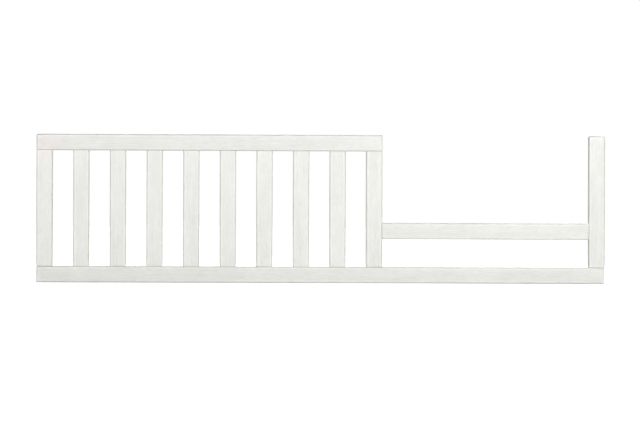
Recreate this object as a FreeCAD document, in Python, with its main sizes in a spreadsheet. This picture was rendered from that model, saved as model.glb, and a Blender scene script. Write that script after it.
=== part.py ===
"""Guard rail that turns a crib into a toddler bed, as separate wooden members with real joints.

The rail's own frame: +Z up, +X along its length, and the origin under its middle, level with
its lowest face. The slatted guard is at the -X end. At the +X end a low entry rail crosses the
opening where a child climbs in. Front and back are alike.

Slats are tenoned into the rails. Posts and the entry rail are dowelled. Threaded inserts in
the outer faces of the two end posts take the bolts that hold the rail between a crib's posts.
"""

import FreeCAD, Part
import math
import os

import Sketcher
from FreeCAD import Placement, Rotation, Vector

# name, millimetres (slat_count and flute_count are counts), what it is
SIZES = [
    ("overall_length", 1330, "end post to end post, the width between a crib's posts"),
    ("overall_height", 346, "foot of the bottom rail to the top of the top rail"),
    ("frame_thickness", 22, "front to back of rails and posts"),
    ("rail_height", 38, "top rail and bottom rail, top to bottom"),
    ("post_width", 38, "end posts and guard post, side to side"),
    ("edge_radius", 3, "rounded edges of rails and posts"),
    ("guard_length", 808, "slatted guard, over its two posts"),
    ("slat_count", 8, "slats between the guard's two posts"),
    ("slat_width", 38, "slat, side to side"),
    ("slat_thickness", 14, "slat, front to back"),
    ("slat_edge_radius", 3, "rounded long edges of a slat"),
    ("tenon_edge_shoulder", 4, "slat's edge to its tenon's edge"),
    ("tenon_face_shoulder", 2, "slat's face to its tenon's face"),
    ("tenon_length", 12, "tenon past the slat's shoulder"),
    ("tenon_chamfer", 1, "lead-in on a tenon's end"),
    ("mortise_side_gap", 0.2, "tenon to mortise wall, all round"),
    ("mortise_end_gap", 1, "tenon's end to the mortise's floor"),
    ("entry_rail_height", 38, "entry rail, top to bottom"),
    ("entry_rail_gap", 65, "bottom rail to entry rail"),
    ("dowel_diameter", 8, "fluted dowel"),
    ("dowel_length", 40, "fluted dowel, half in each member"),
    ("dowel_chamfer", 1, "dowel's ends"),
    ("dowel_spacing", 18, "between the two dowels of one joint"),
    ("dowel_side_gap", 0.1, "dowel to its hole's wall"),
    ("dowel_end_gap", 1, "dowel's end to its hole's floor"),
    ("flute_count", 12, "glue flutes round a dowel"),
    ("flute_radius", 0.5, "glue flute"),
    ("insert_diameter", 12, "threaded insert over its wood thread, which bites the hole"),
    ("insert_length", 15, "threaded insert"),
    ("insert_bore", 5, "tapping size of the insert's M6 thread"),
    ("insert_sink", 0.3, "insert's mouth below the post's face"),
    ("insert_slot_width", 1.8, "driver slot across the insert's mouth"),
    ("insert_slot_depth", 2.5, "driver slot across the insert's mouth"),
    ("insert_joint_distance", 35, "insert's axis to the nearer joint line of post and rail"),
    ("bolt_hole_diameter", 6.6, "clearance past the insert for the bolt's tip"),
    ("bolt_hole_wall", 8, "wood left behind the bolt hole"),
]

# Places along the rail are from its left end, and heights are from its lowest face.
LEFT_POST_X = "Sizes.post_width / 2"
GUARD_POST_X = "(Sizes.guard_length - Sizes.post_width / 2)"
RIGHT_POST_X = "(Sizes.overall_length - Sizes.post_width / 2)"
SLAT_PITCH = "(Sizes.guard_length - Sizes.post_width) / (Sizes.slat_count + 1)"
ENTRY_LENGTH = "(Sizes.overall_length - Sizes.guard_length - Sizes.post_width)"
ENTRY_RAIL_Z = "(Sizes.rail_height + Sizes.entry_rail_gap + Sizes.entry_rail_height / 2)"
BETWEEN_RAILS = "(Sizes.overall_height - 2 * Sizes.rail_height)"
TOP_JOINT_Z = "(Sizes.overall_height - Sizes.rail_height)"

# Heights on a post are from its foot, which stands on the bottom rail.
LOWER_INSERT_Z = "Sizes.insert_joint_distance"
UPPER_INSERT_Z = f"({BETWEEN_RAILS} - Sizes.insert_joint_distance)"
ENTRY_JOINT_Z = f"({ENTRY_RAIL_Z} - Sizes.rail_height)"

TENON_WIDTH = "(Sizes.slat_width - 2 * Sizes.tenon_edge_shoulder)"
TENON_THICKNESS = "(Sizes.slat_thickness - 2 * Sizes.tenon_face_shoulder)"
MORTISE_WIDTH = f"({TENON_WIDTH} + 2 * Sizes.mortise_side_gap)"
MORTISE_THICKNESS = f"({TENON_THICKNESS} + 2 * Sizes.mortise_side_gap)"
MORTISE_DEPTH = "(Sizes.tenon_length + Sizes.mortise_end_gap)"
DOWEL_HOLE_DIAMETER = "(Sizes.dowel_diameter + 2 * Sizes.dowel_side_gap)"
DOWEL_HOLE_DEPTH = "(Sizes.dowel_length / 2 + Sizes.dowel_end_gap)"
INSERT_HOLE_DEPTH = "(Sizes.insert_length + Sizes.insert_sink)"
BOLT_HOLE_DEPTH = "(Sizes.post_width - Sizes.bolt_hole_wall)"

ALONG_X = Vector(1, 0, 0)
ALONG_Z = Vector(0, 0, 1)
STRAIGHT = 0.999  # cosine above which an edge counts as parallel to a direction
SAME_HEIGHT = 0.01  # mm
LEAST_CUT = 1  # mm3, which every pocket takes out more of

# Sketches are drawn roughly, at these half sizes, and take their true size from constraints.
ROUGH_REACH = 9
ROUGH_RADIUS = 4

document = FreeCAD.newDocument("guard_rail")


def make_sheet():
    """The driving dimensions, one row each."""
    sheet = document.addObject("Spreadsheet::Sheet", "Sizes")
    for row, (name, value, meaning) in enumerate(SIZES, start=1):
        sheet.set(f"A{row}", name)
        sheet.set(f"B{row}", str(value))
        sheet.set(f"C{row}", meaning)
        sheet.setAlias(f"B{row}", name)
    document.recompute()
    return sheet


def new_body(name):
    body = document.addObject("PartDesign::Body", name)
    body.Label = name
    return body


def place(body, x, z):
    """Put a body's own origin at x from the rail's left end and z above its lowest face."""
    body.setExpression("Placement.Base.x", f"{x} - Sizes.overall_length / 2")
    body.setExpression("Placement.Base.z", z)


# ---- sketches -------------------------------------------------------------------------------


def origin_feature(body, role):
    return next(feature for feature in body.Origin.OriginFeatures if feature.Role == role)


def new_sketch(body, plane, name, x=None, y=None, z=None):
    """A sketch on one of the body's origin planes, its origin moved within and off that plane."""
    sketch = body.newObject("Sketcher::SketchObject", f"{body.Name}_{name}_sketch")
    sketch.AttachmentSupport = [(origin_feature(body, plane), "")]
    sketch.MapMode = "FlatFace"
    for axis, offset in (("x", x), ("y", y), ("z", z)):
        if offset:
            sketch.setExpression(f"AttachmentOffset.Base.{axis}", offset)
    return sketch


def bind(sketch, constraint, name, size):
    """Add a dimension to a sketch and tie it to an expression."""
    index = sketch.addConstraint(constraint)
    sketch.renameConstraint(index, name)
    sketch.setExpression(f"Constraints.{name}", size)


def draw_rectangle(sketch, width, height):
    """A rectangle about the sketch's origin."""
    reach, rise = ROUGH_REACH, ROUGH_RADIUS
    corners = [Vector(-reach, -rise), Vector(reach, -rise), Vector(reach, rise), Vector(-reach, rise)]
    for start, end in zip(corners, corners[1:] + corners[:1]):
        sketch.addGeometry(Part.LineSegment(start, end))
    for side in range(4):
        sketch.addConstraint(Sketcher.Constraint("Coincident", side, 2, (side + 1) % 4, 1))
    for side in (0, 2):
        sketch.addConstraint(Sketcher.Constraint("Horizontal", side))
        sketch.addConstraint(Sketcher.Constraint("Vertical", side + 1))
    sketch.addConstraint(Sketcher.Constraint("Symmetric", 0, 1, 2, 1, -1, 1))
    bind(sketch, Sketcher.Constraint("DistanceX", 0, 1, 0, 2, 2 * reach), "width", width)
    bind(sketch, Sketcher.Constraint("DistanceY", 1, 1, 1, 2, 2 * rise), "height", height)


def draw_slot(sketch, length, width):
    """A slot about the sketch's origin: two straight sides and two half-round ends."""
    reach, radius = ROUGH_REACH, ROUGH_RADIUS
    right = Part.Circle(Vector(reach, 0), ALONG_Z, radius)
    left = Part.Circle(Vector(-reach, 0), ALONG_Z, radius)
    outline = [
        Part.LineSegment(Vector(-reach, -radius), Vector(reach, -radius)),
        Part.ArcOfCircle(right, -math.pi / 2, math.pi / 2),
        Part.LineSegment(Vector(reach, radius), Vector(-reach, radius)),
        Part.ArcOfCircle(left, math.pi / 2, 3 * math.pi / 2),
    ]
    for piece in outline:
        sketch.addGeometry(piece)
    for piece in range(4):
        sketch.addConstraint(Sketcher.Constraint("Tangent", piece, 2, (piece + 1) % 4, 1))
    sketch.addConstraint(Sketcher.Constraint("Horizontal", 0))
    sketch.addConstraint(Sketcher.Constraint("Equal", 1, 3))
    sketch.addConstraint(Sketcher.Constraint("Symmetric", 1, 3, 3, 3, -1, 1))
    centres = Sketcher.Constraint("DistanceX", 3, 3, 1, 3, 2 * reach)
    bind(sketch, centres, "centres", f"{length} - {width}")
    bind(sketch, Sketcher.Constraint("Radius", 1, radius), "radius", f"{width} / 2")


def draw_circle(sketch, diameter):
    """A circle about the sketch's origin."""
    sketch.addGeometry(Part.Circle(Vector(), ALONG_Z, ROUGH_RADIUS))
    sketch.addConstraint(Sketcher.Constraint("Coincident", 0, 3, -1, 1))
    bind(sketch, Sketcher.Constraint("Diameter", 0, 2 * ROUGH_RADIUS), "diameter", diameter)


def draw_circle_pair(sketch, diameter, spacing, upright=False):
    """Two equal circles, either side of the sketch's origin, level or one above the other."""
    reach = ROUGH_REACH
    step = Vector(0, reach) if upright else Vector(reach, 0)
    line = -2 if upright else -1  # the sketch's vertical or horizontal axis
    distance = "DistanceY" if upright else "DistanceX"
    for centre in (step * -1, step):
        sketch.addGeometry(Part.Circle(centre, ALONG_Z, ROUGH_RADIUS))
    sketch.addConstraint(Sketcher.Constraint("Symmetric", 0, 3, 1, 3, -1, 1))
    sketch.addConstraint(Sketcher.Constraint("PointOnObject", 0, 3, line))
    sketch.addConstraint(Sketcher.Constraint("Equal", 0, 1))
    bind(sketch, Sketcher.Constraint(distance, 0, 3, 1, 3, 2 * reach), "spacing", spacing)
    bind(sketch, Sketcher.Constraint("Diameter", 0, 2 * ROUGH_RADIUS), "diameter", diameter)


# ---- features -------------------------------------------------------------------------------


def pad(body, sketch, name, length, reverse=False):
    feature = body.newObject("PartDesign::Pad", f"{body.Name}_{name}")
    feature.Profile = sketch
    feature.setExpression("Length", length)
    feature.Reversed = reverse
    return feature


def pocket(body, sketch, name, depth, reverse=False):
    """A pocket cuts against its sketch's normal, or along it when reversed."""
    feature = body.newObject("PartDesign::Pocket", f"{body.Name}_{name}")
    feature.Profile = sketch
    feature.setExpression("Length", depth)
    feature.Reversed = reverse
    return feature


def dress_edges(body, kind, name, size_property, size, wanted):
    """Fillet or chamfer those edges of the body so far that wanted says yes to."""
    document.recompute()
    base = body.Tip
    edges = [f"Edge{n}" for n, edge in enumerate(base.Shape.Edges, start=1) if wanted(edge)]
    feature = body.newObject(kind, f"{body.Name}_{name}")
    feature.Base = (base, edges)
    feature.setExpression(size_property, size)
    return feature


def round_edges(body, radius, wanted):
    return dress_edges(body, "PartDesign::Fillet", "rounding", "Radius", radius, wanted)


def chamfer_edges(body, size, wanted):
    return dress_edges(body, "PartDesign::Chamfer", "chamfer", "Size", size, wanted)


def parallel_to(direction):
    """A test for straight edges that run along a direction."""
    return lambda edge: abs(edge.tangentAt(edge.FirstParameter) * direction) > STRAIGHT


def at_height(z):
    """A test for edges that lie wholly at one height."""

    def test(edge):
        box = edge.BoundBox
        return abs(box.ZMin - z) < SAME_HEIGHT and abs(box.ZMax - z) < SAME_HEIGHT

    return test


def cut_dowel_holes(body, name, plane, reverse, upright=False, **offsets):
    """A joint's two dowel holes, on the plane given."""
    sketch = new_sketch(body, plane, name, **offsets)
    draw_circle_pair(sketch, DOWEL_HOLE_DIAMETER, "Sizes.dowel_spacing", upright)
    pocket(body, sketch, name, DOWEL_HOLE_DEPTH, reverse)


# ---- members --------------------------------------------------------------------------------


def make_long_rail(name, length, joint_side):
    """A rail rounded all over, with mortises and dowel holes in the side that faces the slats.

    Its own origin is in the middle of its left end. joint_side is 1 when that side is its top
    and -1 when it is its underside. Returns the body, ready for its other dowel holes.
    """
    body = new_body(name)
    section = new_sketch(body, "YZ_Plane", "section")
    draw_rectangle(section, "Sizes.frame_thickness", "Sizes.rail_height")
    pad(body, section, "length", length)
    round_edges(body, "Sizes.edge_radius", lambda edge: True)

    face = f"{joint_side} * Sizes.rail_height / 2"
    inwards = joint_side < 0
    first_slat = f"({LEFT_POST_X} + {SLAT_PITCH})"
    mortise_sketch = new_sketch(body, "XY_Plane", "mortise", x=first_slat, z=face)
    draw_slot(mortise_sketch, MORTISE_WIDTH, MORTISE_THICKNESS)
    mortise = pocket(body, mortise_sketch, "mortise", MORTISE_DEPTH, inwards)
    row = body.newObject("PartDesign::LinearPattern", f"{name}_mortises")
    row.Originals = [mortise]
    row.Direction = (origin_feature(body, "X_Axis"), [""])
    row.setExpression("Length", f"{SLAT_PITCH} * (Sizes.slat_count - 1)")
    row.setExpression("Occurrences", "Sizes.slat_count")
    body.Tip = row

    for post, x in (("left_post", LEFT_POST_X), ("guard_post", GUARD_POST_X)):
        cut_dowel_holes(body, f"{post}_holes", "XY_Plane", inwards, x=x, z=face)
    return body


def make_rails():
    bottom = make_long_rail("bottom_rail", "Sizes.overall_length", 1)
    cut_dowel_holes(
        bottom, "right_post_holes", "XY_Plane", False, x=RIGHT_POST_X, z="Sizes.rail_height / 2"
    )
    place(bottom, "0", "Sizes.rail_height / 2")

    top = make_long_rail("top_rail", "Sizes.guard_length", -1)
    place(top, "0", "Sizes.overall_height - Sizes.rail_height / 2")
    return [bottom, top]


def make_entry_rail():
    """The low rail across the opening, dowelled into the posts at both ends."""
    body = new_body("entry_rail")
    section = new_sketch(body, "YZ_Plane", "section")
    draw_rectangle(section, "Sizes.frame_thickness", "Sizes.entry_rail_height")
    pad(body, section, "length", ENTRY_LENGTH)
    round_edges(body, "Sizes.edge_radius", parallel_to(ALONG_X))
    cut_dowel_holes(body, "left_holes", "YZ_Plane", True, upright=True)
    cut_dowel_holes(body, "right_holes", "YZ_Plane", False, upright=True, z=ENTRY_LENGTH)
    place(body, "Sizes.guard_length", ENTRY_RAIL_Z)
    return body


def make_post(name, height, x, free_top=False):
    """A post on the bottom rail, its top rounded too where nothing sits on it.

    Its own origin is in the middle of its foot.
    """
    body = new_body(name)
    section = new_sketch(body, "XY_Plane", "section")
    draw_rectangle(section, "Sizes.post_width", "Sizes.frame_thickness")
    pad(body, section, "height", height)
    document.recompute()
    upright = parallel_to(ALONG_Z)
    topmost = at_height(body.Tip.Shape.BoundBox.ZMax)
    round_edges(
        body, "Sizes.edge_radius", lambda edge: upright(edge) or free_top and topmost(edge)
    )
    cut_dowel_holes(body, "foot_holes", "XY_Plane", True)
    place(body, x, "Sizes.rail_height")
    return body


def cut_insert_holes(body, side):
    """Stepped holes for both inserts, in the face on the -1 or +1 side of an end post."""
    face = f"{side} * Sizes.post_width / 2"
    inwards = side < 0
    for name, z in (("lower", LOWER_INSERT_Z), ("upper", UPPER_INSERT_Z)):
        for step, diameter, depth in (
            ("insert_hole", "Sizes.insert_diameter", INSERT_HOLE_DEPTH),
            ("bolt_hole", "Sizes.bolt_hole_diameter", BOLT_HOLE_DEPTH),
        ):
            sketch = new_sketch(body, "YZ_Plane", f"{name}_{step}", y=z, z=face)
            draw_circle(sketch, diameter)
            pocket(body, sketch, f"{name}_{step}", depth, inwards)


def make_posts():
    left = make_post("left_end_post", BETWEEN_RAILS, LEFT_POST_X)
    cut_dowel_holes(left, "head_holes", "XY_Plane", False, z=BETWEEN_RAILS)
    cut_insert_holes(left, -1)

    guard = make_post("guard_post", BETWEEN_RAILS, GUARD_POST_X)
    cut_dowel_holes(guard, "head_holes", "XY_Plane", False, z=BETWEEN_RAILS)
    cut_dowel_holes(
        guard, "entry_rail_holes", "YZ_Plane", False,
        upright=True, y=ENTRY_JOINT_Z, z="Sizes.post_width / 2",
    )

    right_height = f"({BETWEEN_RAILS} + Sizes.rail_height)"
    right = make_post("right_end_post", right_height, RIGHT_POST_X, free_top=True)
    cut_dowel_holes(
        right, "entry_rail_holes", "YZ_Plane", True,
        upright=True, y=ENTRY_JOINT_Z, z="-Sizes.post_width / 2",
    )
    cut_insert_holes(right, 1)
    return [left, guard, right]


def make_slats(count):
    """Slats with a stub tenon at each end. A slat's own origin is on its lower shoulder."""
    slats = []
    for number in range(1, count + 1):
        body = new_body(f"slat_{number}")
        section = new_sketch(body, "XY_Plane", "section")
        draw_rectangle(section, "Sizes.slat_width", "Sizes.slat_thickness")
        pad(body, section, "height", BETWEEN_RAILS)
        round_edges(body, "Sizes.slat_edge_radius", parallel_to(ALONG_Z))
        for end, shoulder, downwards in (("lower", None, True), ("upper", BETWEEN_RAILS, False)):
            sketch = new_sketch(body, "XY_Plane", f"{end}_tenon", z=shoulder)
            draw_slot(sketch, TENON_WIDTH, TENON_THICKNESS)
            pad(body, sketch, f"{end}_tenon", "Sizes.tenon_length", downwards)
        document.recompute()
        box = body.Tip.Shape.BoundBox
        lowest, highest = at_height(box.ZMin), at_height(box.ZMax)
        chamfer_edges(
            body, "Sizes.tenon_chamfer", lambda edge: lowest(edge) or highest(edge)
        )
        place(body, f"{LEFT_POST_X} + {number} * {SLAT_PITCH}", "Sizes.rail_height")
        slats.append(body)
    return slats


# ---- hardware -------------------------------------------------------------------------------


def make_dowel(name):
    """A fluted dowel along Z, with its own origin at its middle."""
    body = new_body(name)
    low_end = "-Sizes.dowel_length / 2"
    section = new_sketch(body, "XY_Plane", "section", z=low_end)
    draw_circle(section, "Sizes.dowel_diameter")
    pad(body, section, "length", "Sizes.dowel_length")
    chamfer_edges(
        body, "Sizes.dowel_chamfer", lambda edge: isinstance(edge.Curve, Part.Circle)
    )
    flute_sketch = new_sketch(
        body, "XY_Plane", "flute", x="Sizes.dowel_diameter / 2", z=low_end
    )
    draw_circle(flute_sketch, "2 * Sizes.flute_radius")
    flute = pocket(body, flute_sketch, "flute", "Sizes.dowel_length", True)
    flutes = body.newObject("PartDesign::PolarPattern", f"{name}_flutes")
    flutes.Originals = [flute]
    flutes.Axis = (origin_feature(body, "Z_Axis"), [""])
    flutes.Angle = 360
    flutes.setExpression("Occurrences", "Sizes.flute_count")
    body.Tip = flutes
    return body


def make_dowels():
    """Two dowels for each joint of post and rail, and two at each end of the entry rail."""
    dowels = []
    upright_joints = (
        ("left_post_bottom", LEFT_POST_X, "Sizes.rail_height"),
        ("left_post_top", LEFT_POST_X, TOP_JOINT_Z),
        ("guard_post_bottom", GUARD_POST_X, "Sizes.rail_height"),
        ("guard_post_top", GUARD_POST_X, TOP_JOINT_Z),
        ("right_post_bottom", RIGHT_POST_X, "Sizes.rail_height"),
    )
    level_joints = (
        ("entry_rail_left", "Sizes.guard_length"),
        ("entry_rail_right", "(Sizes.overall_length - Sizes.post_width)"),
    )
    for number, side in ((1, "-"), (2, "+")):
        shift = f"{side} Sizes.dowel_spacing / 2"
        for joint, x, z in upright_joints:
            body = make_dowel(f"{joint}_dowel_{number}")
            place(body, f"{x} {shift}", z)
            dowels.append(body)
        for joint, x in level_joints:
            body = make_dowel(f"{joint}_dowel_{number}")
            body.Placement = Placement(Vector(), Rotation(Vector(0, 1, 0), 90))
            place(body, x, f"{ENTRY_RAIL_Z} {shift}")
            dowels.append(body)
    return dowels


def make_insert(name):
    """A slotted threaded insert along X, with its mouth at its own origin, facing -X."""
    body = new_body(name)
    section = new_sketch(body, "YZ_Plane", "section")
    draw_circle(section, "Sizes.insert_diameter")
    pad(body, section, "length", "Sizes.insert_length")
    bore = new_sketch(body, "YZ_Plane", "bore")
    draw_circle(bore, "Sizes.insert_bore")
    pocket(body, bore, "bore", "Sizes.insert_length", True)
    slot = new_sketch(body, "YZ_Plane", "slot")
    draw_rectangle(slot, "2 * Sizes.insert_diameter", "Sizes.insert_slot_width")
    pocket(body, slot, "slot", "Sizes.insert_slot_depth", True)
    return body


def make_inserts():
    inserts = []
    lower = "(Sizes.rail_height + Sizes.insert_joint_distance)"
    upper = f"({TOP_JOINT_Z} - Sizes.insert_joint_distance)"
    for height, z in (("lower", lower), ("upper", upper)):
        left = make_insert(f"insert_left_{height}")
        place(left, "Sizes.insert_sink", z)
        right = make_insert(f"insert_right_{height}")
        right.Placement = Placement(Vector(), Rotation(ALONG_Z, 180))
        place(right, "Sizes.overall_length - Sizes.insert_sink", z)
        inserts += [left, right]
    return inserts


# ---- the whole ------------------------------------------------------------------------------


def check(bodies):
    """Stop if a piece failed to build, a sketch is loose or a pocket cut nothing."""
    faults = []
    for item in document.Objects:
        if {"Invalid", "Error"} & set(item.State):
            faults.append(f"{item.Label} is {item.State}")
        if item.isDerivedFrom("Sketcher::SketchObject") and not item.FullyConstrained:
            faults.append(f"{item.Label} isn't fully constrained")
        if item.isDerivedFrom("PartDesign::Pocket"):
            removed = item.BaseFeature.Shape.Volume - item.Shape.Volume
            if removed < LEAST_CUT:
                faults.append(f"{item.Label} removes {removed:.2f} mm3")
    for body in bodies:
        if body.Shape.isNull() or not body.Shape.isValid() or len(body.Shape.Solids) != 1:
            faults.append(f"{body.Label} isn't one valid solid")
    if faults:
        raise RuntimeError("; ".join(faults))


def main():
    sheet = make_sheet()
    bodies = make_rails() + [make_entry_rail()] + make_posts()
    bodies += make_slats(int(sheet.slat_count)) + make_dowels() + make_inserts()
    document.recompute()
    check(bodies)
    os.makedirs("parts", exist_ok=True)
    for body in bodies:
        body.Shape.exportStep(f"parts/{body.Label}.step")
        print(f"{body.Label}: {body.Shape.Volume / 1000:.1f} cm3")


main()
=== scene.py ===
"""Looks for the toddler bed guard rail: painted members, threaded inserts, studio and camera.

Every length is in metres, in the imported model's frame: +X along the rail, -Y towards the camera
and +Z up. Members and inserts are rebuilt as finer meshes in the places that the frame gives.
The dowels stay as they are packed and get a beech material.
"""

import math
from dataclasses import dataclass

import bmesh
import bpy
from mathutils import Matrix, Quaternion, Vector, noise


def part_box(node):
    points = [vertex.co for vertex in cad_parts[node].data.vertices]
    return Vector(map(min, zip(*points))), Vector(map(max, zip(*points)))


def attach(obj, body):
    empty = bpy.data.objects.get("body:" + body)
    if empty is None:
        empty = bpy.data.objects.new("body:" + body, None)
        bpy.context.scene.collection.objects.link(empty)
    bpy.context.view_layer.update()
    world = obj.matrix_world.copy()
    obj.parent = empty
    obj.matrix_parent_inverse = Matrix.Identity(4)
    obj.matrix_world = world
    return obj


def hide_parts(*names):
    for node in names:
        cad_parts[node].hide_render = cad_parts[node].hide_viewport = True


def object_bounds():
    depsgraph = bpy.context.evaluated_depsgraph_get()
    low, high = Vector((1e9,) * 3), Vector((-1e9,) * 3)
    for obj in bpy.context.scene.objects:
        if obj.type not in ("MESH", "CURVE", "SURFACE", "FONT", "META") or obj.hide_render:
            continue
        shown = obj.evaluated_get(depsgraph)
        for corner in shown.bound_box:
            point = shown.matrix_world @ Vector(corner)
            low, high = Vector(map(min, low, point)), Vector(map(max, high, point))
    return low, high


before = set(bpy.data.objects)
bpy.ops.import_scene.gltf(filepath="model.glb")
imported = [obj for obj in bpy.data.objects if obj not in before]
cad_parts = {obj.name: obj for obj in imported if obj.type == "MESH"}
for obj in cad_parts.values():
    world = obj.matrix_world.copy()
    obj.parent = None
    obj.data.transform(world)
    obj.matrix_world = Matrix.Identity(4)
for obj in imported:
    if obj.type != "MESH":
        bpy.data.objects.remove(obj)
cad_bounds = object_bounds()

MM = 0.001
X, Y, Z = 0, 1, 2
WHITE = (1.0, 1.0, 1.0)

# Joinery, as part.py has it.
EDGE_RADIUS = 3 * MM
TENON_WIDTH = 30 * MM
TENON_THICKNESS = 10 * MM
TENON_LENGTH = 12 * MM
TENON_ROOT = 2 * MM  # how far the tenon's own solid reaches into the slat
MORTISE_SIDE_GAP = 0.2 * MM
MORTISE_DEPTH = 13 * MM
DOWEL_HOLE_RADIUS = 4.1 * MM
DOWEL_HOLE_DEPTH = 21 * MM
DOWEL_SPACING = 18 * MM
INSERT_RADIUS = 6 * MM
INSERT_LENGTH = 15 * MM
INSERT_SINK = 0.3 * MM
BOLT_HOLE_RADIUS = 3.3 * MM
BOLT_HOLE_DEPTH = 30 * MM
SLOT_WIDTH = 1.8 * MM
SLOT_DEPTH = 2.5 * MM

# How finely the wood is meshed.
EDGE_SEGMENTS = 8
HAIRLINE = 0.25 * MM  # softened edge round a butted end, which shows as a fine line at the joint
HAIRLINE_SEGMENTS = 2
STATION = 24 * MM  # between cross-sections along a member
HOLE_SIDES = 48

# How far a sanded member strays from flat.
WAVE_DEPTH = 0.12 * MM
WAVE_LENGTH = 170 * MM
EDGE_WEAR = 0.06 * MM
EDGE_WEAR_LENGTH = 45 * MM

RIM_REACH = 12 * MM  # the range over which the painted edge shade and highlight follow the distance from a rim

# The painted edge shade and highlight sit on a rail's lower edges as if these were this much further from
# their rim, so less painted shade falls there.
LOWER_EDGE_SHADE_OFFSET = 1.0 * MM

# A factor on each board's paint colour, and how much the slats' factor varies.
TONES = {
    "top_rail": 0.945, "bottom_rail": 0.965, "entry_rail": 0.97,
    "left_end_post": 1.01, "guard_post": 0.99, "right_end_post": 0.95,
}
SLAT_TONE = 1.01
SLAT_TONE_SPREAD = 0.012

SLAT_COUNT = sum(1 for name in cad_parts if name.startswith("slat_"))
SLATS = [f"slat_{number}" for number in range(1, SLAT_COUNT + 1)]
POSTS = ["left_end_post", "guard_post", "right_end_post"]


# ---- small mesh tools -----------------------------------------------------------------------


def mesh_object(name, bm):
    """Turn a bmesh into an object in the scene."""
    mesh = bpy.data.meshes.new(name)
    bm.normal_update()
    bm.to_mesh(mesh)
    bm.free()
    piece = bpy.data.objects.new(name, mesh)
    bpy.context.scene.collection.objects.link(piece)
    return piece


def apply_modifiers(piece):
    """Replace a piece's mesh by what its modifiers make of it."""
    graph = bpy.context.evaluated_depsgraph_get()
    finished = bpy.data.meshes.new_from_object(piece.evaluated_get(graph))
    piece.modifiers.clear()
    rough = piece.data
    piece.data = finished
    finished.name = piece.name
    bpy.data.meshes.remove(rough)


def combine(piece, other, operation):
    """Join another solid to a piece, or cut it out of the piece, and drop the other."""
    modifier = piece.modifiers.new("combine", "BOOLEAN")
    modifier.operation = operation
    modifier.solver = "EXACT"
    modifier.object = other
    apply_modifiers(piece)
    bpy.data.objects.remove(other)


def smooth(piece, sharp_angle=math.radians(35)):
    """Smooth shading that keeps flats flat and corners over sharp_angle crisp."""
    mesh = piece.data
    mesh.shade_smooth()
    mesh.set_sharp_from_angle(angle=sharp_angle)
    modifier = piece.modifiers.new("normals", "WEIGHTED_NORMAL")
    modifier.keep_sharp = True
    apply_modifiers(piece)


def lathe(bm, profile, place, sides=HOLE_SIDES):
    """Add a closed solid of revolution about local Z. profile is (radius, height) pairs."""
    rings = []
    for radius, height in profile:
        if radius == 0:
            rings.append([bm.verts.new(place @ Vector((0, 0, height)))])
            continue
        ring = []
        for side in range(sides):
            turn = 2 * math.pi * side / sides
            point = Vector((radius * math.cos(turn), radius * math.sin(turn), height))
            ring.append(bm.verts.new(place @ point))
        rings.append(ring)
    for lower, upper in zip(rings, rings[1:]):
        for side in range(sides):
            after = (side + 1) % sides
            if len(lower) == 1:
                bm.faces.new((lower[0], upper[after], upper[side]))
            elif len(upper) == 1:
                bm.faces.new((lower[side], lower[after], upper[0]))
            else:
                bm.faces.new((lower[side], lower[after], upper[after], upper[side]))


def stadium(bm, length, width, low, high, place, sides=HOLE_SIDES):
    """Add a closed prism along local Z whose section is a slot with half-round ends."""
    radius = width / 2
    reach = length / 2 - radius
    outline = []
    for side in range(sides + 2):
        right = side <= sides // 2
        turn = 2 * math.pi * (side if right else side - 1) / sides - math.pi / 2
        centre = reach if right else -reach
        outline.append((centre + radius * math.cos(turn), radius * math.sin(turn)))
    bottom = [bm.verts.new(place @ Vector((x, y, low))) for x, y in outline]
    top = [bm.verts.new(place @ Vector((x, y, high))) for x, y in outline]
    bm.faces.new(bottom[::-1])
    bm.faces.new(top)
    for index in range(len(outline)):
        after = (index + 1) % len(outline)
        bm.faces.new((bottom[index], bottom[after], top[after], top[index]))


def facing(position, direction):
    """A place whose local Z points along direction and whose local X lies along X, or else Y."""
    out = Vector(direction)
    wide = Vector((0, 1, 0)) if abs(out.x) > 0.5 else Vector((1, 0, 0))
    turn = Matrix((wide, out.cross(wide), out)).transposed()
    return Matrix.Translation(position) @ turn.to_4x4()


# ---- wooden members -------------------------------------------------------------------------


@dataclass
class Board:
    """One wooden member: its node, its box, its long axis and which of its ends are rounded."""

    node: str
    axis: int
    rounded_ends: tuple
    seed: int

    def __post_init__(self):
        self.low, self.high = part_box(self.node)

    @property
    def middle(self):
        return (self.low + self.high) / 2

    def ends(self):
        """Its low and its high end, each with whether that end is rounded."""
        return (
            (self.low[self.axis], self.rounded_ends[0]),
            (self.high[self.axis], self.rounded_ends[1]),
        )

    def rim(self, point):
        """How far a point on the surface is from the nearest rounded edge."""
        depths = [
            min(point[i] - self.low[i], self.high[i] - point[i])
            for i in (X, Y, Z) if i != self.axis
        ]
        depths += [abs(point[self.axis] - end) for end, is_round in self.ends() if is_round]
        return sorted(depths)[1]


def edge_runs_along(edge, axis):
    span = edge.verts[0].co - edge.verts[1].co
    return all(abs(span[other]) < 1e-6 for other in (X, Y, Z) if other != axis)


def edge_lies_at(edge, axis, value):
    return all(abs(vert.co[axis] - value) < 1e-6 for vert in edge.verts)


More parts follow.
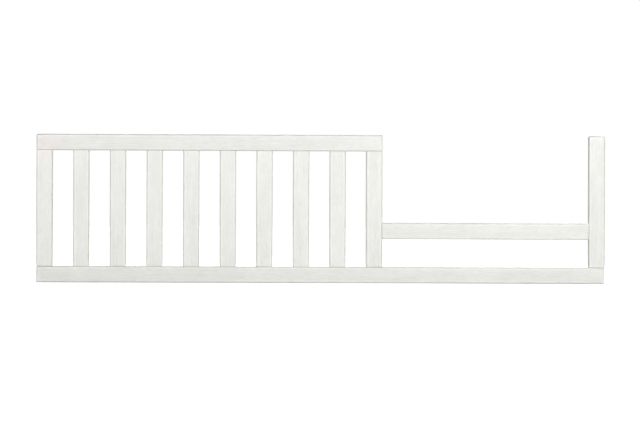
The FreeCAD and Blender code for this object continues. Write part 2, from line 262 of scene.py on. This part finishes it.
def rounded_board(board):
    """The board's solid: rounded along its edges and rounded ends, hardly broken where it butts."""
    bm = bmesh.new()
    size = Matrix.Diagonal((*(board.high - board.low), 1))
    bmesh.ops.create_cube(bm, size=1, matrix=Matrix.Translation(board.middle) @ size)
    rounded = [
        edge for edge in bm.edges
        if edge_runs_along(edge, board.axis)
        or any(is_round and edge_lies_at(edge, board.axis, end) for end, is_round in board.ends())
    ]
    bmesh.ops.bevel(
        bm, geom=rounded, offset=EDGE_RADIUS, offset_type="OFFSET",
        segments=EDGE_SEGMENTS, profile=0.5, affect="EDGES",
    )
    butted = [
        edge for edge in bm.edges
        if any(not is_round and edge_lies_at(edge, board.axis, end) for end, is_round in board.ends())
    ]
    if butted:
        bmesh.ops.bevel(
            bm, geom=butted, offset=HAIRLINE, offset_type="OFFSET",
            segments=HAIRLINE_SEGMENTS, profile=0.5, affect="EDGES",
        )
    cut_stations(bm, board)
    sand(bm, board)
    return mesh_object(f"{board.node}_painted", bm)


def cut_stations(bm, board):
    """Cut cross-sections along the board, and a few lines along its faces."""
    for direction in (X, Y, Z):
        length = board.high[direction] - board.low[direction] - 2 * EDGE_RADIUS
        if direction == board.axis:
            count = max(2, round(length / STATION))
            stations = range(count + 1)
        else:
            count = 4 if length > 20 * MM else 2
            stations = range(1, count)
        normal = Vector((0, 0, 0))
        normal[direction] = 1
        for station in stations:
            point = board.low.copy()
            point[direction] += EDGE_RADIUS + length * station / count
            geometry = bm.verts[:] + bm.edges[:] + bm.faces[:]
            bmesh.ops.bisect_plane(
                bm, geom=geometry, dist=1e-6, plane_co=point, plane_no=normal
            )


def sand(bm, board):
    """Let front and back stray a little from flat, and wear the rounded edges unevenly."""
    offset = Vector((board.seed * 3.7, board.seed * 1.3, board.seed * 5.1))
    half_thickness = board.high.y - board.middle.y
    for vert in bm.verts:
        point = vert.co
        side = (point.y - board.middle.y) / half_thickness
        wave = noise.noise((point + offset) / WAVE_LENGTH) * WAVE_DEPTH
        wear = max(0.0, noise.noise((point + 2 * offset) / EDGE_WEAR_LENGTH)) * EDGE_WEAR
        wear *= max(0.0, 1 - board.rim(point) / EDGE_RADIUS)
        vert.co.y += side * (wave - WAVE_DEPTH / 2 - wear)


def store_paint_guides(piece, board):
    """Store what the paint's texture follows, for each point of the board.

    "board" is its place along, across and through the board, "rim" its distance from the
    nearest rounded edge, pushed out on a rail's lower edges, which places the painted edge
    shade and highlight, and "tone" a factor on this board's paint colour.
    """
    mesh = piece.data
    middle = board.middle
    across = Z if board.axis == X else X
    places = []
    rims = []
    for vert in mesh.vertices:
        point = vert.co
        places += (
            point[board.axis] - middle[board.axis] + board.seed * 0.731,
            point[across] - middle[across] + board.seed * 0.113,
            point.y - middle.y,
        )
        # The rim distance is pushed out on a rail's lower edges, so less painted edge shade falls there.
        on_lower_edge = board.axis == X and point.z < middle.z
        rims.append(board.rim(point) + (LOWER_EDGE_SHADE_OFFSET if on_lower_edge else 0))
    slat_tone = SLAT_TONE + SLAT_TONE_SPREAD * noise.noise(Vector((board.seed * 7.3, 0, 0)))
    tone = TONES.get(board.node, slat_tone)
    tones = [tone] * len(mesh.vertices)
    mesh.attributes.new("board", "FLOAT_VECTOR", "POINT").data.foreach_set("vector", places)
    mesh.attributes.new("rim", "FLOAT", "POINT").data.foreach_set("value", rims)
    mesh.attributes.new("tone", "FLOAT", "POINT").data.foreach_set("value", tones)


def finish_member(piece, board):
    smooth(piece)
    store_paint_guides(piece, board)
    piece.data.materials.append(PAINT)
    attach(piece, "root")
    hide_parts(board.node)


def dowel_holes(bm, centre, direction, spread):
    """Add the cutters of one joint's two dowel holes. direction points out of the wood."""
    for side in (-1, 1):
        position = centre + spread * side * DOWEL_SPACING / 2
        profile = [
            (0, -DOWEL_HOLE_DEPTH), (DOWEL_HOLE_RADIUS, -DOWEL_HOLE_DEPTH),
            (DOWEL_HOLE_RADIUS, HAIRLINE), (0, HAIRLINE),
        ]
        lathe(bm, profile, facing(position, direction))


def insert_hole(bm, centre, direction):
    """Add the cutter of one stepped hole for an insert and the tip of its bolt."""
    seat = INSERT_LENGTH + INSERT_SINK
    profile = [
        (0, -BOLT_HOLE_DEPTH), (BOLT_HOLE_RADIUS, -BOLT_HOLE_DEPTH),
        (BOLT_HOLE_RADIUS, -seat), (INSERT_RADIUS, -seat),
        (INSERT_RADIUS, -2 * HAIRLINE), (INSERT_RADIUS + 3 * HAIRLINE, HAIRLINE), (0, HAIRLINE),
    ]
    lathe(bm, profile, facing(centre, direction))


def middle_of(node):
    low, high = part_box(node)
    return (low + high) / 2


def make_long_rail(node, posts, joint_side, seed):
    """A rail rounded all over, with a mortise for each slat and dowel holes for each post."""
    board = Board(node, X, (True, True), seed)
    piece = rounded_board(board)
    cutters = bmesh.new()
    face = board.high.z if joint_side > 0 else board.low.z
    out = (0, 0, joint_side)
    mortise = (TENON_WIDTH + 2 * MORTISE_SIDE_GAP, TENON_THICKNESS + 2 * MORTISE_SIDE_GAP)
    for slat in SLATS:
        place = facing(Vector((middle_of(slat).x, 0, face)), out)
        stadium(cutters, *mortise, -MORTISE_DEPTH, HAIRLINE, place)
    for post in posts:
        dowel_holes(cutters, Vector((middle_of(post).x, 0, face)), out, Vector((1, 0, 0)))
    combine(piece, mesh_object(f"{node}_cutters", cutters), "DIFFERENCE")
    finish_member(piece, board)


def make_entry_rail(seed):
    board = Board("entry_rail", X, (False, False), seed)
    piece = rounded_board(board)
    cutters = bmesh.new()
    height = board.middle.z
    for end, out in ((board.low.x, -1), (board.high.x, 1)):
        dowel_holes(cutters, Vector((end, 0, height)), (out, 0, 0), Vector((0, 0, 1)))
    combine(piece, mesh_object("entry_rail_cutters", cutters), "DIFFERENCE")
    finish_member(piece, board)


def make_post(node, seed):
    """A post with dowel holes at its ends and, on some, at the entry rail and for inserts."""
    free_top = node == "right_end_post"
    board = Board(node, Z, (False, free_top), seed)
    piece = rounded_board(board)
    cutters = bmesh.new()
    centre = board.middle.x
    dowel_holes(cutters, Vector((centre, 0, board.low.z)), (0, 0, -1), Vector((1, 0, 0)))
    if not free_top:
        dowel_holes(cutters, Vector((centre, 0, board.high.z)), (0, 0, 1), Vector((1, 0, 0)))
    entry_height = middle_of("entry_rail").z
    entry_side = {"guard_post": 1, "right_end_post": -1}.get(node)
    if entry_side:
        face = board.high.x if entry_side > 0 else board.low.x
        position = Vector((face, 0, entry_height))
        dowel_holes(cutters, position, (entry_side, 0, 0), Vector((0, 0, 1)))
    insert_side = {"left_end_post": "left", "right_end_post": "right"}.get(node)
    if insert_side:
        face, out = (board.low.x, -1) if insert_side == "left" else (board.high.x, 1)
        for height in ("lower", "upper"):
            level = middle_of(f"insert_{insert_side}_{height}").z
            insert_hole(cutters, Vector((face, 0, level)), (out, 0, 0))
    combine(piece, mesh_object(f"{node}_cutters", cutters), "DIFFERENCE")
    finish_member(piece, board)


def make_slat(node, seed):
    """A slat between the two rails, with a stub tenon at each end."""
    board = Board(node, Z, (False, False), seed)
    board.low.z += TENON_LENGTH
    board.high.z -= TENON_LENGTH
    piece = rounded_board(board)
    tenons = bmesh.new()
    for height, out in ((board.low.z, -1), (board.high.z, 1)):
        place = facing(Vector((board.middle.x, 0, height)), (0, 0, out))
        stadium(tenons, TENON_WIDTH, TENON_THICKNESS, -TENON_ROOT, TENON_LENGTH, place)
    combine(piece, mesh_object(f"{node}_tenons", tenons), "UNION")
    finish_member(piece, board)


# ---- materials ------------------------------------------------------------------------------


class Nodes:
    """A material's node tree, with short ways to add nodes and link them."""

    def __init__(self, material):
        material.use_nodes = True
        self.tree = material.node_tree
        self.tree.nodes.clear()

    def add(self, kind, **settings):
        node = self.tree.nodes.new(kind)
        for key, value in settings.items():
            setattr(node, key, value)
        return node

    def link(self, source, target):
        self.tree.links.new(source, target)

    def math(self, operation, first, second):
        node = self.add("ShaderNodeMath", operation=operation)
        for socket, value in zip(node.inputs, (first, second)):
            if isinstance(value, (int, float)):
                socket.default_value = value
            else:
                self.link(value, socket)
        return node.outputs[0]

    def scaled(self, vector, scale):
        node = self.add("ShaderNodeVectorMath", operation="MULTIPLY")
        self.link(vector, node.inputs[0])
        node.inputs[1].default_value = scale
        return node.outputs[0]

    def noise(self, vector, scale, detail=2.0, roughness=0.5, distortion=0.0):
        node = self.add("ShaderNodeTexNoise")
        self.link(vector, node.inputs["Vector"])
        node.inputs["Scale"].default_value = scale
        node.inputs["Detail"].default_value = detail
        node.inputs["Roughness"].default_value = roughness
        node.inputs["Distortion"].default_value = distortion
        return node.outputs["Fac"]

    def ramp(self, factor, stops):
        node = self.add("ShaderNodeValToRGB")
        self.link(factor, node.inputs["Fac"])
        elements = node.color_ramp.elements
        while len(elements) < len(stops):
            elements.new(0.5)
        for element, (position, colour) in zip(elements, stops):
            element.position = position
            element.color = (*colour, 1)
        return node.outputs["Color"]

    def mix(self, factor, first, second, blend="MIX"):
        node = self.add("ShaderNodeMix", data_type="RGBA", blend_type=blend)
        for socket, value in ((node.inputs[0], factor), (node.inputs[6], first), (node.inputs[7], second)):
            if isinstance(value, (int, float)):
                socket.default_value = value
            elif isinstance(value, tuple):
                socket.default_value = (*value, 1)
            else:
                self.link(value, socket)
        return node.outputs[2]

    def bump(self, height, distance, strength=1.0, normal=None):
        node = self.add("ShaderNodeBump")
        node.inputs["Distance"].default_value = distance
        node.inputs["Strength"].default_value = strength
        self.link(height, node.inputs["Height"])
        if normal is not None:
            self.link(normal, node.inputs["Normal"])
        return node.outputs["Normal"]


def new_surface(name):
    """A material with one shader. Returns the material, its nodes and the shader."""
    material = bpy.data.materials.new(name)
    nodes = Nodes(material)
    shader = nodes.add("ShaderNodeBsdfPrincipled")
    output = nodes.add("ShaderNodeOutputMaterial")
    nodes.link(shader.outputs[0], output.inputs[0])
    return material, nodes, shader


def make_paint():
    """Off-white satin paint, sprayed so lightly that the grain below still shows.

    Its rounded edges carry painted shade, a darker and a little warmer rim, and just beside them a painted
    highlight, a lighter band.
    """
    material, nodes, shader = new_surface("painted_wood")
    board = nodes.add("ShaderNodeAttribute", attribute_name="board").outputs["Vector"]
    rim = nodes.add("ShaderNodeAttribute", attribute_name="rim").outputs["Fac"]
    tone = nodes.add("ShaderNodeAttribute", attribute_name="tone").outputs["Color"]

    figure = nodes.noise(nodes.scaled(board, (5, 46, 46)), 1.0, 3, 0.5, 0.4)
    grain = nodes.noise(nodes.scaled(board, (8, 230, 230)), 1.0, 4, 0.6, 0.3)
    pores = nodes.noise(nodes.scaled(board, (40, 1300, 1300)), 1.0, 2, 0.5)
    cloud = nodes.noise(nodes.scaled(board, (16, 24, 24)), 1.0, 3, 0.55, 0.5)
    speckle = nodes.noise(nodes.scaled(board, (75, 290, 290)), 1.0, 2, 0.6)

    colour = nodes.ramp(figure, ((0.28, (0.803, 0.809, 0.775)), (0.72, (0.855, 0.861, 0.825))))
    streaks = nodes.ramp(grain, ((0.3, (0.955, 0.957, 0.949)), (0.65, WHITE)))
    clouds = nodes.ramp(cloud, ((0.3, (0.940, 0.941, 0.935)), (0.7, WHITE)))
    specks = nodes.ramp(speckle, ((0.3, (0.945, 0.945, 0.940)), (0.7, WHITE)))
    open_grain = nodes.ramp(pores, ((0.34, (0.920, 0.917, 0.905)), (0.48, WHITE)))
    # Painted shade darkens the rounded edges, and a painted highlight lightens a band just beside them.
    painted_edge_shade = (0.885, 0.880, 0.860)
    painted_edge_highlight = (1.045, 1.045, 1.045)
    painted_edge_shade_and_highlight = nodes.ramp(nodes.math("MULTIPLY", rim, 1 / RIM_REACH), (
        (1.8 * MM / RIM_REACH, painted_edge_shade), (2.88 * MM / RIM_REACH, WHITE),
        (3.6 * MM / RIM_REACH, painted_edge_highlight), (5.04 * MM / RIM_REACH, painted_edge_highlight), (7.2 * MM / RIM_REACH, WHITE),
    ))
    for layer in (streaks, clouds, specks, open_grain, painted_edge_shade_and_highlight, tone):
        colour = nodes.mix(1.0, colour, layer, "MULTIPLY")
    nodes.link(colour, shader.inputs["Base Color"])

    rough = nodes.math("MULTIPLY_ADD", cloud, 0.16)
    rough.node.inputs[2].default_value = 0.30
    nodes.link(rough, shader.inputs["Roughness"])

    normal = nodes.bump(grain, 0.05 * MM)
    normal = nodes.bump(pores, 0.02 * MM, normal=normal)
    normal = nodes.bump(speckle, 0.03 * MM, normal=normal)
    nodes.link(normal, shader.inputs["Normal"])
    shader.inputs["IOR"].default_value = 1.5
    shader.inputs["Coat Weight"].default_value = 0.25
    shader.inputs["Coat Roughness"].default_value = 0.12
    return material


def make_beech():
    """Bare beech, as dowels are made of, with grain along the dowel and short dark rays."""
    material, nodes, shader = new_surface("beech")
    place = nodes.add("ShaderNodeTexCoord").outputs["Object"]
    figure = nodes.noise(nodes.scaled(place, (300, 300, 40)), 1.0, 4, 0.6, 0.4)
    rays = nodes.noise(nodes.scaled(place, (1500, 1500, 260)), 1.0, 1, 0.5)
    colour = nodes.ramp(figure, ((0.3, (0.46, 0.27, 0.13)), (0.7, (0.64, 0.43, 0.24))))
    flecks = nodes.ramp(rays, ((0.62, (1.0, 1.0, 1.0)), (0.72, (0.66, 0.52, 0.40))))
    nodes.link(nodes.mix(0.8, colour, flecks, "MULTIPLY"), shader.inputs["Base Color"])
    nodes.link(nodes.bump(figure, 0.05 * MM), shader.inputs["Normal"])
    shader.inputs["Roughness"].default_value = 0.62
    return material


def make_zinc():
    """Bright zinc plate with fine turning marks and a faint bluish bloom."""
    material, nodes, shader = new_surface("zinc_plated_steel")
    place = nodes.add("ShaderNodeTexCoord").outputs["Object"]
    bloom = nodes.noise(place, 500, 3, 0.6)
    marks = nodes.noise(nodes.scaled(place, (9000, 700, 700)), 1.0, 2, 0.5)
    colour = nodes.ramp(bloom, ((0.3, (0.56, 0.58, 0.60)), (0.7, (0.72, 0.72, 0.70))))
    nodes.link(colour, shader.inputs["Base Color"])
    rough = nodes.math("MULTIPLY_ADD", marks, 0.25)
    rough.node.inputs[2].default_value = 0.22
    nodes.link(rough, shader.inputs["Roughness"])
    nodes.link(nodes.bump(marks, 0.01 * MM), shader.inputs["Normal"])
    shader.inputs["Metallic"].default_value = 1.0
    return material


# ---- threaded inserts -----------------------------------------------------------------------

INSERT_ROOT_RADIUS = 5.1 * MM
INSERT_THREAD_PITCH = 2.5 * MM
BOLT_THREAD_PITCH = 1.0 * MM
BOLT_CREST_RADIUS = 2.5 * MM
BOLT_ROOT_RADIUS = 3.0 * MM
MOUTH_RADIUS = 3.1 * MM
SIDES_PER_TURN = 36
ROWS_PER_PITCH = 4


def threaded_wall(bm, place, low, high, root, crest, pitch, crest_share, inward):
    """Add a wall round local Z from low to high whose radius follows a helical thread.

    Returns its first and last ring. crest_share is the part of a pitch that the crest takes.
    """
    rows = round((high - low) / pitch * ROWS_PER_PITCH * 2)
    rings = []
    for row in range(rows + 1):
        height = low + (high - low) * row / rows
        ends = min(height - low, high - height) / pitch
        fade = min(1.0, max(0.0, ends))
        ring = []
        for side in range(SIDES_PER_TURN):
            share = side / SIDES_PER_TURN
            phase = (height / pitch - share) % 1.0
            rise = max(0.0, 1 - abs(phase - 0.5) / crest_share) * fade
            radius = root + (crest - root) * min(1.0, rise * 1.6)
            turn = 2 * math.pi * share
            point = Vector((radius * math.cos(turn), radius * math.sin(turn), height))
            ring.append(bm.verts.new(place @ point))
        rings.append(ring)
    for lower, upper in zip(rings, rings[1:]):
        for side in range(SIDES_PER_TURN):
            after = (side + 1) % SIDES_PER_TURN
            face = (lower[side], lower[after], upper[after], upper[side])
            bm.faces.new(face[::-1] if inward else face)
    return rings[0], rings[-1]


def bridge(bm, first, second):
    """Join two rings of equal count by a band of quads, running from first to second."""
    for side in range(SIDES_PER_TURN):
        after = (side + 1) % SIDES_PER_TURN
        bm.faces.new((first[side], first[after], second[after], second[side]))


def ring_at(bm, place, radius, height):
    ring = []
    for side in range(SIDES_PER_TURN):
        turn = 2 * math.pi * side / SIDES_PER_TURN
        point = Vector((radius * math.cos(turn), radius * math.sin(turn), height))
        ring.append(bm.verts.new(place @ point))
    return ring


def make_insert(node):
    """A slotted insert: coarse wood thread outside, machine thread inside, mouth outwards."""
    low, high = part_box(node)
    middle = (low + high) / 2
    leftwards = "left" in node
    mouth = low.x if leftwards else high.x
    out = -1 if leftwards else 1
    place = facing(Vector((mouth, middle.y, middle.z)), (out, 0, 0))

    bm = bmesh.new()
    bottom = -INSERT_LENGTH
    rim = 0.4 * MM
    outer = threaded_wall(
        bm, place, bottom + rim, -rim, INSERT_ROOT_RADIUS, INSERT_RADIUS,
        INSERT_THREAD_PITCH, 0.32, inward=False,
    )
    inner = threaded_wall(
        bm, place, bottom + rim, -2 * rim, BOLT_ROOT_RADIUS, BOLT_CREST_RADIUS,
        BOLT_THREAD_PITCH, 0.5, inward=True,
    )
    face_out = ring_at(bm, place, INSERT_ROOT_RADIUS - rim, 0)
    face_in = ring_at(bm, place, MOUTH_RADIUS + rim, 0)
    tail_out = ring_at(bm, place, INSERT_ROOT_RADIUS - rim, bottom)
    tail_in = ring_at(bm, place, BOLT_ROOT_RADIUS + rim, bottom)
    bridge(bm, outer[1], face_out)
    bridge(bm, face_out, face_in)
    bridge(bm, face_in, inner[1])
    bridge(bm, inner[0], tail_in)
    bridge(bm, tail_in, tail_out)
    bridge(bm, tail_out, outer[0])
    bmesh.ops.recalc_face_normals(bm, faces=bm.faces)
    piece = mesh_object(f"{node}_threaded", bm)

    slot = bmesh.new()
    size = Matrix.Diagonal((3 * INSERT_RADIUS, SLOT_WIDTH, 2 * SLOT_DEPTH, 1))
    bmesh.ops.create_cube(slot, size=1, matrix=place @ size)
    combine(piece, mesh_object(f"{node}_slot", slot), "DIFFERENCE")
    smooth(piece)
    piece.data.materials.append(ZINC)
    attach(piece, "root")
    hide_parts(node)
    return piece


# ---- studio ---------------------------------------------------------------------------------

SENSOR = 36.0  # mm
FRAME_WIDTH = 1.4940  # what the picture spans in the plane of the rail's front
FRAME_CENTRE_X = -0.0032
CAMERA_DISTANCE = 8.2
CAMERA_X = -0.38
CAMERA_Z = 0.1653
AIM_X = -0.15
CAMERA_ROLL = math.radians(0.2165)


def make_camera():
    data = bpy.data.cameras.new("camera")
    data.sensor_width = SENSOR
    data.lens = SENSOR * CAMERA_DISTANCE / FRAME_WIDTH
    data.clip_start = 0.05
    data.clip_end = 200
    front = cad_bounds[0][1]
    camera = bpy.data.objects.new("camera", data)
    bpy.context.scene.collection.objects.link(camera)
    place = Vector((CAMERA_X, front - CAMERA_DISTANCE, CAMERA_Z))
    aim = Vector((AIM_X, front, CAMERA_Z))
    data.shift_x = (FRAME_CENTRE_X - AIM_X) / FRAME_WIDTH
    roll = Quaternion((0, 0, 1), CAMERA_ROLL)
    camera.rotation_mode = "QUATERNION"
    camera.rotation_quaternion = (aim - place).to_track_quat("-Z", "Y") @ roll
    camera.location = place
    bpy.context.scene.camera = camera


def place_light(name, data, place, aim):
    light = bpy.data.objects.new(name, data)
    bpy.context.scene.collection.objects.link(light)
    light.location = place
    light.rotation_mode = "QUATERNION"
    light.rotation_quaternion = (Vector(aim) - Vector(place)).to_track_quat("-Z", "Y")
    light.visible_camera = False


def area_light(name, place, aim, size, power):
    data = bpy.data.lights.new(name, "AREA")
    data.shape = "RECTANGLE"
    data.size, data.size_y = size
    data.energy = power
    place_light(name, data, place, aim)


def spot_light(name, place, aim, cone, blend, power, colour):
    data = bpy.data.lights.new(name, "SPOT")
    data.spot_size = cone
    data.spot_blend = blend
    data.shadow_soft_size = 0.01
    data.energy = power
    data.color = colour
    place_light(name, data, place, aim)


def make_lights():
    """One broad light by the camera, a strip on either side for the edges, and three close lamps.

    A small pinkish one tints the upper left corner. The last four light the ends, the tops and
    the back.
    """
    area_light("front", place=(-0.2, -5.0, 1.0), aim=(0, 0, 0.17), size=(3.0, 0.8), power=117)
    area_light("strip_right", place=(1.75, -2.6, 0.6), aim=(0.1, 0, 0.17), size=(0.1, 1.4), power=3.5)
    area_light("strip_left", place=(-2.0, -2.6, 0.6), aim=(-0.1, 0, 0.17), size=(0.1, 1.4), power=12.5)
    area_light("near_post", place=(0.8, -0.7, 1.0), aim=(0.64, 0, 0.33), size=(0.2, 0.2), power=3.9)
    area_light("near_corner", place=(-0.75, -1.0, 1.0), aim=(-0.6, 0, 0.33), size=(0.3, 0.3), power=0.9)
    area_light("near_entry", place=(0.40, -1.0, 0.12), aim=(0.42, 0, 0.0), size=(0.5, 0.2), power=0.2)
    spot_light(
        "pink_glow", place=(-1.0, -2.0, 0.9), aim=(-0.75, 0, 0.45),
        cone=math.radians(10.8), blend=0.12, power=10, colour=(1, 0.05, 0.4),
    )
    area_light("side_left", place=(-3.0, 1.5, 1.0), aim=(0, 0, 0.15), size=(1.2, 1.0), power=18)
    area_light("side_right", place=(3.0, 1.5, 1.0), aim=(0, 0, 0.15), size=(1.2, 1.0), power=26)
    area_light("overhead", place=(0, 1.0, 2.6), aim=(0, 0.2, 0), size=(3.2, 1.2), power=7)
    area_light("back", place=(0.4, 2.4, 1.6), aim=(0, 0, 0.2), size=(2.6, 1.0), power=32)


def make_world():
    """White behind everything, and a dimmer even glow to light it."""
    world = bpy.data.worlds.new("studio")
    bpy.context.scene.world = world
    nodes = Nodes(world)
    backdrop = nodes.add("ShaderNodeBackground")
    backdrop.inputs["Strength"].default_value = 1.02
    glow = nodes.add("ShaderNodeBackground")
    glow.inputs["Strength"].default_value = 0.18
    for background in (backdrop, glow):
        background.inputs["Color"].default_value = (1, 1, 1, 1)
    seen = nodes.add("ShaderNodeLightPath").outputs["Is Camera Ray"]
    mix = nodes.add("ShaderNodeMixShader")
    nodes.link(seen, mix.inputs[0])
    nodes.link(glow.outputs[0], mix.inputs[1])
    nodes.link(backdrop.outputs[0], mix.inputs[2])
    output = nodes.add("ShaderNodeOutputWorld")
    nodes.link(mix.outputs[0], output.inputs[0])


def make_floor():
    """A white floor, overexposed as on a lit table, that keeps a soft shadow by the rail.

    It glows less near the rail, where the lamps add the rest, and looks dull to other rays so
    that it doesn't light the rail from below.
    """
    bm = bmesh.new()
    bmesh.ops.create_grid(bm, x_segments=1, y_segments=1, size=30)
    floor = mesh_object("floor", bm)
    floor.location.z = -0.2 * MM
    material = bpy.data.materials.new("floor")
    nodes = Nodes(material)
    seen = nodes.add("ShaderNodeLightPath").outputs["Is Camera Ray"]
    dull = nodes.add("ShaderNodeBsdfDiffuse")
    dull.inputs["Color"].default_value = (0.75, 0.75, 0.75, 1)
    bright = nodes.add("ShaderNodeBsdfDiffuse")
    bright.inputs["Color"].default_value = (0.9, 0.9, 0.9, 1)
    place = nodes.add("ShaderNodeTexCoord").outputs["Object"]
    distance = nodes.add("ShaderNodeVectorMath", operation="LENGTH")
    nodes.link(nodes.scaled(place, (0.15, 1, 0)), distance.inputs[0])
    near, far = (0.50, 0.50, 0.50), (1.0, 1.0, 1.0)
    glow = nodes.ramp(distance.outputs["Value"], ((0.10, near), (0.80, far)))
    lift = nodes.add("ShaderNodeEmission")
    nodes.link(glow, lift.inputs["Color"])
    both = nodes.add("ShaderNodeAddShader")
    nodes.link(bright.outputs[0], both.inputs[0])
    nodes.link(lift.outputs[0], both.inputs[1])
    mix = nodes.add("ShaderNodeMixShader")
    nodes.link(seen, mix.inputs[0])
    nodes.link(dull.outputs[0], mix.inputs[1])
    nodes.link(both.outputs[0], mix.inputs[2])
    output = nodes.add("ShaderNodeOutputMaterial")
    nodes.link(mix.outputs[0], output.inputs[0])
    floor.data.materials.append(material)


# ---- the whole ------------------------------------------------------------------------------

PAINT = make_paint()
BEECH = make_beech()
ZINC = make_zinc()

make_long_rail("top_rail", ["left_end_post", "guard_post"], -1, seed=1)
make_long_rail("bottom_rail", POSTS, 1, seed=2)
make_entry_rail(seed=3)
for number, name in enumerate(POSTS, start=4):
    make_post(name, seed=number)
for number, name in enumerate(SLATS, start=7):
    make_slat(name, seed=number)

for name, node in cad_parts.items():
    if name.startswith("insert_"):
        make_insert(name)
    elif "dowel" in name:
        node.data.materials.clear()
        node.data.materials.append(BEECH)

make_camera()
make_lights()
make_world()
make_floor()
bpy.context.scene.view_settings.view_transform = "Standard"
